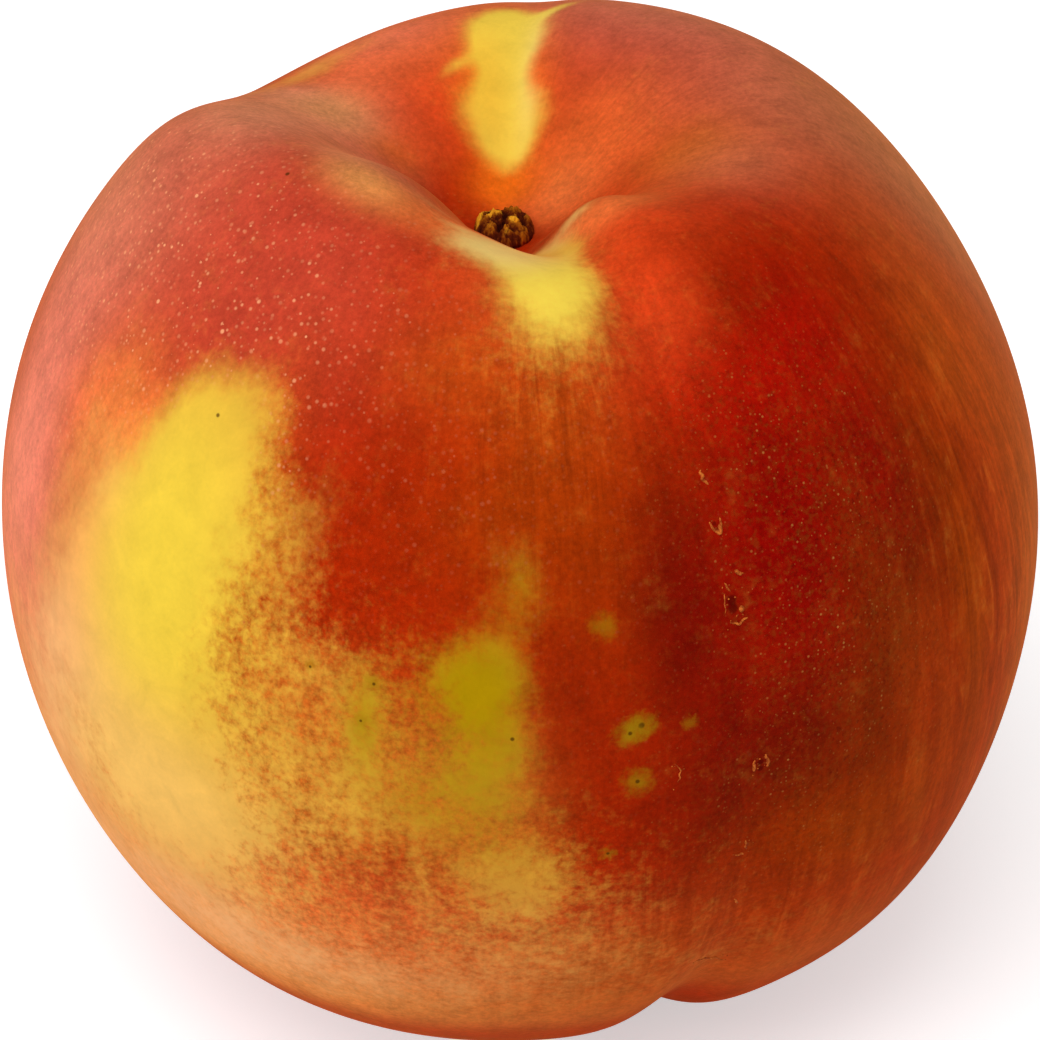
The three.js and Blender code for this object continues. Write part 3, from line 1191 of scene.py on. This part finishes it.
class SkinSurface:
    """Finds places on the skin by their longitude and polar angle."""

    def __init__(self, mesh: bpy.types.Mesh) -> None:
        """Read the skin's points.

        Args:
            mesh: the skin.
        """
        count = len(mesh.vertices)
        self.longitude, self.polar = np.zeros(count), np.zeros(count)
        mesh.attributes["longitude"].data.foreach_get("value", self.longitude)
        mesh.attributes["polar"].data.foreach_get("value", self.polar)
        points = np.zeros(count * 3)
        mesh.vertices.foreach_get("co", points)
        self.points = points.reshape(-1, 3)

    def at(self, longitude: float, polar: float, nearest: int = 4) -> Vector:
        """Find one place, from the points nearest to it.

        Args:
            longitude: degrees around the stem axis.
            polar: degrees down from the stem axis.
            nearest: how many points to weigh.

        Returns:
            The place.
        """
        gap = (self.longitude - longitude + 180) % 360 - 180
        away = np.hypot(gap * math.sin(math.radians(polar)), self.polar - polar)
        near = np.argsort(away)[:nearest]
        share = 1 / (away[near] + 0.01)
        return Vector((self.points[near] * share[:, None]).sum(axis=0) / share.sum())


@dataclass
class FruitSkin:
    """The fruit, grown as one piece."""

    form: FruitForm = field(default_factory=FruitForm)
    finish: SkinFinish = field(default_factory=SkinFinish)
    meridians: int = 432
    rings: int = 230
    first_ring_share: float = 0.45
    settle_softness: float = 0.3

    def build(self) -> bpy.types.Object:
        """Grow the skin and colour it.

        Returns:
            The finished piece.
        """
        grown = GrownPart("peach_skin")
        g = grown.graph
        ball = grown.ball(self.meridians, self.rings)
        x, y, z = g.split(g.position())
        share = g.times(g.arccos(z), 1 / math.pi)
        first = grown.size("First ring share", self.first_ring_share)
        later = g.times(g.math("SUBTRACT", 1.0, first), share)
        kept = g.keep(ball, "longitude", g.math("DEGREES", g.math("ARCTAN2", y, x)))
        kept = g.keep(kept, "polar", g.times(share, g.total(first, later), 180.0))
        longitude, polar = g.saved("longitude"), g.saved("polar")
        rule = FormGraph(g, self.form, longitude, polar)
        reached = g.put(kept, g.vector("SCALE", rule.out, self.radius(grown, rule, polar)))
        settled = self.settle(g, reached, grown.size("Flattened", self.form.flattened))
        around = g.math("RADIANS", longitude)
        unrolled = g.xyz(g.math("COSINE", around), g.math("SINE", around), g.times(polar, 1 / 90))
        material = bpy.data.materials.new("peach_skin")
        grown.finish(g.keep(settled, "around", unrolled, "FLOAT_VECTOR"), material)
        piece = grown.grow()
        self.finish.dress(material, self.paint(piece.data))
        return piece

    def radius(self, grown: GrownPart, rule: FormGraph, polar: Socket) -> Socket:
        """Distance from the middle of the fruit to its skin, before it settles.

        Args:
            grown: the part, for its named inputs.
            rule: the form's rule at each point.
            polar: each point's polar angle.

        Returns:
            The distance's socket.
        """
        g, form = grown.graph, self.form
        body = rule.body(*grown.sizes(form, "half_width", "half_height", "shoulder_fullness",
                                      "fuller_side"))
        cavity = rule.cavity(*grown.sizes(form, "cavity_depth", "cavity_steepness",
                                          "cavity_half_width"))
        dimple_depth, = grown.sizes(form, "dimple_depth")
        grooves = [rule.groove(each) for each in (form.suture, form.far_crease,
                                                  form.shoulder_valley)]
        up = g.math("SUBTRACT", 180.0, polar)
        dimple = g.times(g.bell(g.times(up, 1 / form.dimple_half_width)), dimple_depth)
        return g.math("SUBTRACT", g.total(body, rule.swelling()), g.total(cavity, *grooves, dimple))

    def settle(self, g: Graph, geometry: Socket, flattened: Socket) -> Socket:
        """Stand the fruit on its flat spot, over the origin, in metres.

        Args:
            g: the tree's graph.
            geometry: the fruit about its own middle, in millimetres.
            flattened: how far the flesh has settled.

        Returns:
            The standing fruit.
        """
        bounds = g.node("GeometryNodeBoundBox")
        g.plug(bounds.inputs[0], geometry)
        low, high = bounds.outputs["Min"], bounds.outputs["Max"]
        middle = g.split(g.vector("SCALE", g.vector("ADD", low, high), 0.5))
        here = g.split(g.position())
        rest = g.total(g.split(low)[2], flattened)
        height = g.math("SMOOTH_MAX", g.math("SUBTRACT", here[2], rest), 0.0, self.settle_softness)
        moved = g.xyz(g.math("SUBTRACT", here[0], middle[0]),
                      g.math("SUBTRACT", here[1], middle[1]), height)
        return g.put(geometry, g.vector("SCALE", moved, MM))

    @staticmethod
    def paint(mesh: bpy.types.Mesh) -> list[tuple[Vector, PinDot]]:
        """Lay every layer of colour on the skin's points.

        Args:
            mesh: the skin.

        Returns:
            Each pin-prick with its place on the skin.
        """
        surface = SkinSurface(mesh)
        for layer in LAYERS:
            layer.lay(mesh, surface.longitude, surface.polar)
        return [(surface.at(mark.longitude, mark.polar), mark) for mark in PIN_DOTS]


# ---- corky marks of the suture


@dataclass(frozen=True)
class Crack:
    """A healed split: its corky edge's course in degrees, and its half thickness, millimetres."""

    course: Stops
    half_thickness: float


@dataclass(frozen=True)
class CorkFinish(Finish):
    """Pale dry cork, browner in its dips."""

    dips: str = "8c2c08"
    tops: str = "ea8030"
    patches: Grain = Grain(1.0, 2.5, share=0.7)
    tops_span: Span = (-0.2, 0.25)

    def material(self) -> bpy.types.Material:
        """Build the finish.

        Returns:
            A new material.
        """
        made = bpy.data.materials.new("suture_cork")
        g, place = self.begin(made)
        share = g.ease(g.noise(place, self.patches), *self.tops_span)
        self.end(g, g.mix(share, linear(self.dips), linear(self.tops)))
        return made


@dataclass
class SutureCork:
    """Raised corky edges and crumbs of the healed splits along the suture."""

    skin: bpy.types.Object
    finish: CorkFinish = field(default_factory=CorkFinish)
    course_step: float = 0.3
    step: float = 0.08
    wobble: float = 0.05
    wobble_scale: float = 2.4
    taper: float = 0.45
    lumps: Grain = Grain(1.4, 3.5, 2.0)
    profile_sides: int = 8
    crumb_step: float = 0.5
    crumb_spread: float = 0.55
    smallest_crumb: float = 0.03
    largest_crumb: float = 0.075
    seed: int = 4
    cracks: tuple[Crack, ...] = (
        Crack([(-64.3, 54.0), (-64.2, 55.0), (-63.7, 55.8)], 0.12),
        Crack([(-64.9, 59.6), (-63.7, 60.9), (-63.3, 59.3)], 0.14),
        Crack([(-62.8, 65.1), (-62.1, 65.8)], 0.15),
        Crack([(-64.4, 66.0), (-63.8, 67.1)], 0.08),
        Crack([(-64.4, 67.0), (-64.8, 68.0), (-64.8, 69.2)], 0.05),
        Crack([(-64.3, 70.3), (-63.4, 70.8), (-62.3, 70.2)], 0.1),
        Crack([(-62.8, 68.8), (-62.7, 69.7)], 0.22),
        Crack([(-62.7, 86.9), (-62.7, 88.5)], 0.13),
        Crack([(-61.5, 86.6), (-61.1, 87.4), (-61.3, 88.4)], 0.12),
        Crack([(-63.4, 97.4), (-63.1, 98.8)], 0.1),
        Crack([(-64.6, 99.2), (-63.4, 99.6)], 0.07),
        Crack([(-63.4, 106.6), (-63.0, 107.8)], 0.08),
        Crack([(-66.5, 118.0), (-64.0, 119.2), (-61.0, 121.0)], 0.06),
        Crack([(-72.0, 84.3), (-71.4, 85.2), (-71.6, 87.0)], 0.05),
    )

    def build(self) -> bpy.types.Object:
        """Grow the cork.

        Returns:
            The finished piece.
        """
        grown = GrownPart("suture_cork")
        g = grown.graph
        start = grown.base(self.courses())
        skin = g.fed("GeometryNodeObjectInfo", {
            "Object": grown.size("Skin", self.skin, Input.OBJECT)}, "Geometry")
        seed = grown.size("Seed", self.seed, Input.COUNT)
        line = g.fed("GeometryNodeMeshToCurve", {0: start})

        edge = self.spaced(g, line, grown.size("Step", self.step * MM))
        place = g.vector("SCALE", g.position(), 1 / MM)
        ragged = g.fed("ShaderNodeTexNoise", {"Vector": place, "Scale": self.wobble_scale},
                       "Color", noise_dimensions="3D")
        shift = g.vector("SCALE", g.vector("SUBTRACT", ragged, (0.5, 0.5, 0.5)),
                         g.times(grown.size("Wobble", self.wobble * MM), 2.0))
        edge = g.moved(edge, shift)
        way = g.fed("GeometryNodeSplineParameter", {}, "Factor")
        taper = g.math("POWER", g.math("SINE", g.times(way, math.pi)), self.taper)
        thick = g.times(g.saved("half_thickness"), taper,
                        g.total(1.0, g.noise(place, self.lumps)))
        profile = g.fed("GeometryNodeCurvePrimitiveCircle", {
            "Resolution": self.profile_sides, "Radius": 1.0})
        rod = g.fed("GeometryNodeCurveToMesh", {
            "Curve": edge, "Scale": thick, "Profile Curve": profile, "Fill Caps": True})

        joined = g.node("GeometryNodeJoinGeometry")
        for part in (rod, self.crumbs(grown, line, skin, seed)):
            g.plug(joined.inputs[0], part)
        grown.finish(g.smooth(joined.outputs[0]), self.finish.material())
        return grown.grow()

    def crumbs(self, grown: GrownPart, line: Socket, skin: Socket, seed: Socket) -> Socket:
        """Scatter crumbs beside the edges, on the skin.

        Args:
            grown: the part, for its graph and named inputs.
            line: the edges' courses.
            skin: the skin's surface.
            seed: what the scattering starts from.

        Returns:
            The crumbs.
        """
        g = grown.graph
        dotted = self.spaced(g, line, grown.size("Crumb step", self.crumb_step * MM))
        points = g.fed("GeometryNodeCurveToPoints", {0: dotted}, mode="EVALUATED")
        spread = self.crumb_spread * MM
        strewn = self.chance(g, seed, -spread, spread)
        loose = g.moved(points, strewn)
        near = g.fed("GeometryNodeProximity", {0: skin}, "Position", target_element="FACES")
        grain = g.fed("GeometryNodeMeshIcoSphere", {"Radius": MM, "Subdivisions": 2})
        size = self.chance(g, g.math("ADD", seed, 1.0), self.smallest_crumb, self.largest_crumb)
        return g.fed("GeometryNodeInstanceOnPoints", {
            "Points": g.put(loose, near), "Instance": grain, "Scale": size})

    @staticmethod
    def chance(g: Graph, seed: Socket, low: float, high: float) -> Socket:
        """Socket of a random vector whose three parts lie between low and high."""
        return g.fed("FunctionNodeRandomValue", {"Min": (low,) * 3, "Max": (high,) * 3, "Seed": seed},
                     data_type="FLOAT_VECTOR")

    @staticmethod
    def spaced(g: Graph, line: Socket, step: Socket) -> Socket:
        """Socket of curves with their points spaced evenly, a step apart."""
        return g.fed("GeometryNodeResampleCurve", {"Curve": line, "Length": step}, mode="LENGTH")

    def courses(self) -> bpy.types.Mesh:
        """Lay the edges' courses on the skin.

        Returns:
            A mesh of one chain of edges for each crack, with its half thickness on its points.
        """
        points, links, thick = [], [], []
        surface = SkinSurface(self.skin.data)
        for crack in self.cracks:
            first = len(points)
            for (start, down), (end, lower) in zip(crack.course, crack.course[1:]):
                count = max(2, round(math.hypot(end - start, lower - down) / self.course_step))
                for i in range(count):
                    share = i / count
                    points.append(surface.at(start + (end - start) * share,
                                             down + (lower - down) * share))
            points.append(surface.at(*crack.course[-1]))
            links += [(i, i + 1) for i in range(first, len(points) - 1)]
            thick += [crack.half_thickness * MM] * (len(points) - first)
        mesh = bpy.data.meshes.new("suture_courses")
        mesh.from_pydata(points, links, [])
        mesh.attributes.new("half_thickness", "FLOAT", "POINT").data.foreach_set("value", thick)
        return mesh


# ---- the stem scar


@dataclass(frozen=True)
class Knob:
    """A knob, ridge or hollow of the torn wood, in millimetres from the stem axis."""

    x: float
    y: float
    wide: float
    tall: float
    height: float
    turn: float = 0.0
    # how golden its top is, partly a painted highlight
    gold: float = 0.0


@dataclass(frozen=True)
class ScarFinish(Finish):
    """Dry torn wood: nearly black in its hollows and golden where fibres stand up, partly painted
    shade and highlight.
    """

    gloss: float = 0.05
    relief: float = 0.2
    relief_strength: float = 0.8
    hollow: str = "380a02"
    bark: str = "7a2c06"
    ridge: str = "d07c14"
    gold_and_highlight: str = "ffb428"
    grain_draw: tuple[float, float, float] = (1.0, 1.0, 0.35)
    fibres: Grain = Grain(1.0, 4.0, 4.0, 0.7)
    fibre_height: float = 0.7
    fibre_gold: float = 0.9
    bark_span: Span = (-0.3, 0.3)
    ridge_span: Span = (0.0, 0.5)
    ridge_share: float = 0.9
    gold_and_highlight_span: Span = (0.3, 0.85)

    def material(self) -> bpy.types.Material:
        """Build the finish.

        Returns:
            A new material.
        """
        made = bpy.data.materials.new("scar_wood")
        g, place = self.begin(made)
        fibres = g.noise(g.vector("MULTIPLY", place, self.grain_draw), self.fibres)
        height = g.total(g.attribute("raised"), g.times(fibres, self.fibre_height))
        # how golden: the knobs' gold and the fibres, partly a painted highlight
        torn = g.total(g.attribute("gold"), g.times(fibres, self.fibre_gold))
        # darker where the relief sinks and lighter where it stands up: painted shade and highlight
        # over the wood's tone
        bark = g.ease(height, *self.bark_span)
        ridge = g.ease(height, *self.ridge_span, 0.0, self.ridge_share)
        colour = g.mix(bark, linear(self.hollow), linear(self.bark))
        colour = g.mix(ridge, colour, linear(self.ridge))
        self.end(g, g.mix(g.ease(torn, *self.gold_and_highlight_span), colour, linear(self.gold_and_highlight)), fibres)
        return made


@dataclass
class StemScar:
    """Woody stub that the stalk left on the floor of the cavity."""

    floor: Vector
    finish: ScarFinish = field(default_factory=ScarFinish)
    half_width: float = 2.1
    edge_height: float = 0.8
    crown_height: float = 1.6
    floor_rise: float = 0.34
    sunk: float = 0.25
    ruggedness: float = 1.0
    ragged_edge: Grain = Grain(0.25, 2.2, 3.0, 0.5)
    lumps: Grain = Grain(1.2, 1.6, 4.0, 0.6, 0.8)
    splinters: Grain = Grain(0.9, 3.6, 3.0, 0.6, 0.4)
    edge_sharpness: float = 9.0
    thinnest: float = 0.15
    meridians: int = 120
    rings: int = 110
    knobs: tuple[Knob, ...] = (
        # ridge, and the rim round the hollow behind it
        Knob(-0.75, 0.25, 0.6, 0.2, 0.5, 24, 1.5),
        Knob(-1.75, 0.3, 0.2, 0.9, 0.35, -14, 1.1),
        Knob(-1.2, 1.45, 0.7, 0.2, 0.3, 30, 0.6),
        Knob(-0.65, 1.15, 0.6, 0.32, -1.1, 8),
        # knob near the middle and the clefts beside it
        Knob(0.6, -0.45, 0.34, 0.36, 0.45, 0, 1.6),
        Knob(-0.02, -0.2, 0.14, 0.7, -0.3, -6),
        Knob(1.25, -0.3, 0.16, 0.7, -0.25, 10),
        # lumps round the edge
        Knob(0.75, 1.1, 0.6, 0.45, 0.25, 0, 0.5),
        Knob(1.7, 0.2, 0.3, 0.6, 0.2, 0, 0.1),
        Knob(1.3, -1.2, 0.4, 0.4, 0.3, 0, 0.35),
        Knob(0.2, -1.5, 0.45, 0.35, 0.3, 0, 0.5),
        Knob(-1.0, -1.0, 0.5, 0.45, 0.35, 0, 0.4),
        Knob(-0.4, -1.0, 0.2, 0.6, -0.4, 0),
    )

    def build(self) -> bpy.types.Object:
        """Grow the scar.

        Returns:
            The finished piece.
        """
        grown = GrownPart("stem_scar_wood")
        g = grown.graph
        ball = grown.ball(self.meridians, self.rings)
        start = g.split(g.position())
        around = g.math("ARCTAN2", start[1], start[0])
        east, north = g.math("COSINE", around), g.math("SINE", around)
        down = g.arccos(start[2])
        top = g.math("GREATER_THAN", start[2], -0.001)
        share = g.times(g.math("MINIMUM", down, g.math("SUBTRACT", math.pi, down)), 2 / math.pi)
        half_width, crown, edge, rise, sunk, ruggedness = grown.sizes(
            self, "half_width", "crown_height", "edge_height", "floor_rise", "sunk", "ruggedness")
        ragged = g.noise(g.xyz(east, north, 0.0), self.ragged_edge)
        reach = g.times(share, half_width, g.total(1.0, ragged))
        x, y = g.times(reach, east), g.times(reach, north)

        raised, gold = self.relief(g, x, y)
        flat = g.xyz(x, y, 3.0)
        rugged = g.total(g.noise(flat, self.lumps), g.noise(flat, self.splinters))
        raised = g.total(raised, g.times(rugged, ruggedness))
        dome = g.total(crown, g.times(g.math("SUBTRACT", edge, crown), share, share))
        fall = g.math("SUBTRACT", 1.0, g.math("POWER", share, self.edge_sharpness))
        rounded = g.math("SQRT", g.math("MAXIMUM", fall, 0.0))
        lift = g.times(g.math("MAXIMUM", g.total(dome, raised), self.thinnest), rounded, top)
        height = g.math("SUBTRACT", g.total(g.times(share, share, rise), lift), sunk)

        kept = g.keep(g.keep(ball, "raised", raised), "gold", gold)
        local = g.vector("SCALE", g.xyz(x, y, height), MM)
        placed = g.put(kept, g.vector("ADD", local, tuple(self.floor)))
        grown.finish(placed, self.finish.material())
        return grown.grow()

    def relief(self, g: Graph, x: Socket, y: Socket) -> tuple[Socket, Socket]:
        """Lay the knobs, ridges and hollows together.

        Args:
            g: the tree's graph.
            x: each point's place across the scar.
            y: each point's place along it.

        Returns:
            Sockets of the height that they add, and of how golden they are.
        """
        raised: object = 0.0
        gold: object = 0.0
        for knob in self.knobs:
            cos, sin = math.cos(math.radians(knob.turn)), math.sin(math.radians(knob.turn))
            dx, dy = g.total(x, -knob.x), g.total(y, -knob.y)
            along = g.times(g.total(g.times(dx, cos), g.times(dy, sin)), 1 / knob.wide)
            aside = g.times(g.total(g.times(dy, cos), g.times(dx, -sin)), 1 / knob.tall)
            hump = g.times(g.bell(along), g.bell(aside))
            raised = g.total(raised, g.times(hump, knob.height))
            if knob.gold:
                gold = g.total(gold, g.times(hump, knob.gold))
        return raised, gold


# ---- studio


@dataclass(frozen=True)
class Lamp:
    """A square soft lamp that faces the fruit, in metres and watts."""

    name: str
    place: tuple[float, float, float]
    size: float
    power: float

    def hang(self, aim: Vector) -> None:
        """Hang the lamp.

        Args:
            aim: what it faces.
        """
        data = bpy.data.lights.new(self.name, "AREA")
        data.size = self.size
        data.energy = self.power
        lamp = bpy.data.objects.new(self.name, data)
        lamp.location = self.place
        lamp.rotation_euler = (aim - Vector(self.place)).to_track_quat("-Z", "Y").to_euler()
        bpy.context.scene.collection.objects.link(lamp)


@dataclass
class Studio:
    """Plain floor, soft light from the upper left and a camera that looks down on the fruit."""

    floor_half_size: float = 0.6
    floor_colour: Rgba = (0.9, 0.9, 0.9, 1)
    floor_roughness: float = 0.9
    floor_lift: float = 0.5
    surrounding_light: float = 0.36
    camera_distance: float = 0.52
    camera_height_angle: float = 35.0
    sensor_width: float = 36.0
    frame_filled: float = 1.002
    lamp_aim: tuple[float, float, float] = (0, 0, 0.035)
    lamps: tuple[Lamp, ...] = (
        Lamp("key", (-0.72, -0.25, 0.32), 0.5, 1.7),
        Lamp("top", (-0.12, -0.42, 0.85), 0.6, 4.35),
    )

    def floor(self) -> None:
        """Lay the floor."""
        half = self.floor_half_size
        mesh = bpy.data.meshes.new("floor")
        corners = [(-half, -half, 0), (half, -half, 0), (half, half, 0), (-half, half, 0)]
        mesh.from_pydata(corners, [], [(0, 1, 2, 3)])
        floor = bpy.data.objects.new("floor", mesh)
        bpy.context.scene.collection.objects.link(floor)
        made = bpy.data.materials.new("pale_floor")
        made.use_nodes = True
        g = Graph(made.node_tree)
        seen = g.fed("ShaderNodeLightPath", {}, "Is Camera Ray")
        for name, value in {"Base Color": self.floor_colour, "Roughness": self.floor_roughness,
                            "Emission Color": (1, 1, 1, 1),
                            "Emission Strength": g.times(seen, self.floor_lift)}.items():
            g.plug(made.node_tree.nodes["Principled BSDF"].inputs[name], value)
        mesh.materials.append(made)

    def surroundings(self) -> None:
        """Light the fruit from all round, by surroundings that the camera sees as white."""
        world = bpy.data.worlds.new("studio")
        bpy.context.scene.world = world
        world.use_nodes = True
        world.node_tree.nodes.clear()
        g = Graph(world.node_tree)
        path = g.node("ShaderNodeLightPath")
        seen = g.math("MAXIMUM", path.outputs["Is Camera Ray"], path.outputs["Is Glossy Ray"])
        seen = g.math("MAXIMUM", seen, path.outputs["Is Transmission Ray"])
        sky = g.fed("ShaderNodeBackground", {
            "Color": (1, 1, 1, 1), "Strength": g.ease(seen, 0.0, 1.0, self.surrounding_light, 1.0)})
        g.plug(g.node("ShaderNodeOutputWorld").inputs[0], sky)

    def light(self) -> None:
        """Hang the lamps."""
        for lamp in self.lamps:
            lamp.hang(Vector(self.lamp_aim))

    def camera(self, subject: bpy.types.Object) -> None:
        """Stand the camera in front and fill its frame with the fruit.

        Args:
            subject: the piece to frame.
        """
        low, high = (Vector(corner) for corner in CAD_BOX)
        middle = (low + high) / 2
        down = math.radians(self.camera_height_angle)
        back = Vector((0, -math.cos(down), math.sin(down)))
        turn = (-back).to_track_quat("-Z", "Y")
        place = middle + back * self.camera_distance
        points = np.zeros(len(subject.data.vertices) * 3)
        subject.data.vertices.foreach_get("co", points)
        seen = (points.reshape(-1, 3) - np.array(place)) @ np.array(turn.to_matrix())
        across, up = seen[:, 0] / -seen[:, 2], seen[:, 1] / -seen[:, 2]
        centre = Vector(((across.min() + across.max()) / 2, (up.min() + up.max()) / 2))
        widest = max(np.ptp(across), np.ptp(up)) / self.frame_filled
        data = bpy.data.cameras.new("camera")
        data.sensor_width = self.sensor_width
        data.lens = self.sensor_width / widest
        data.shift_x = centre.x / widest
        data.shift_y = centre.y / widest
        data.clip_start, data.clip_end = 0.01, 10
        camera = bpy.data.objects.new("camera", data)
        camera.location = place
        camera.rotation_mode = "QUATERNION"
        camera.rotation_quaternion = turn
        bpy.context.scene.collection.objects.link(camera)
        bpy.context.scene.camera = camera


def main() -> None:
    """Build every piece, light it and frame it."""
    logging.basicConfig(level=logging.INFO, format="%(name)s: %(message)s")
    bpy.context.scene.view_settings.view_transform = "Standard"
    skin = FruitSkin().build()
    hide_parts("peach_fruit")
    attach(skin, BODY)
    cork = SutureCork(skin).build()
    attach(cork, BODY)
    # the scar stands a little to the right of the stem axis
    scar = StemScar(SkinSurface(skin.data).at(0, 0) + Vector((0.05, 0, 0)) * MM).build()
    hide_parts("stem_scar")
    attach(scar, BODY)
    for piece in (skin, cork, scar):
        log.info("%s: %d faces", piece.name, len(piece.data.polygons))
    studio = Studio()
    studio.camera(skin)
    studio.floor()
    studio.surroundings()
    studio.light()


if __name__ == "__main__":
    main()
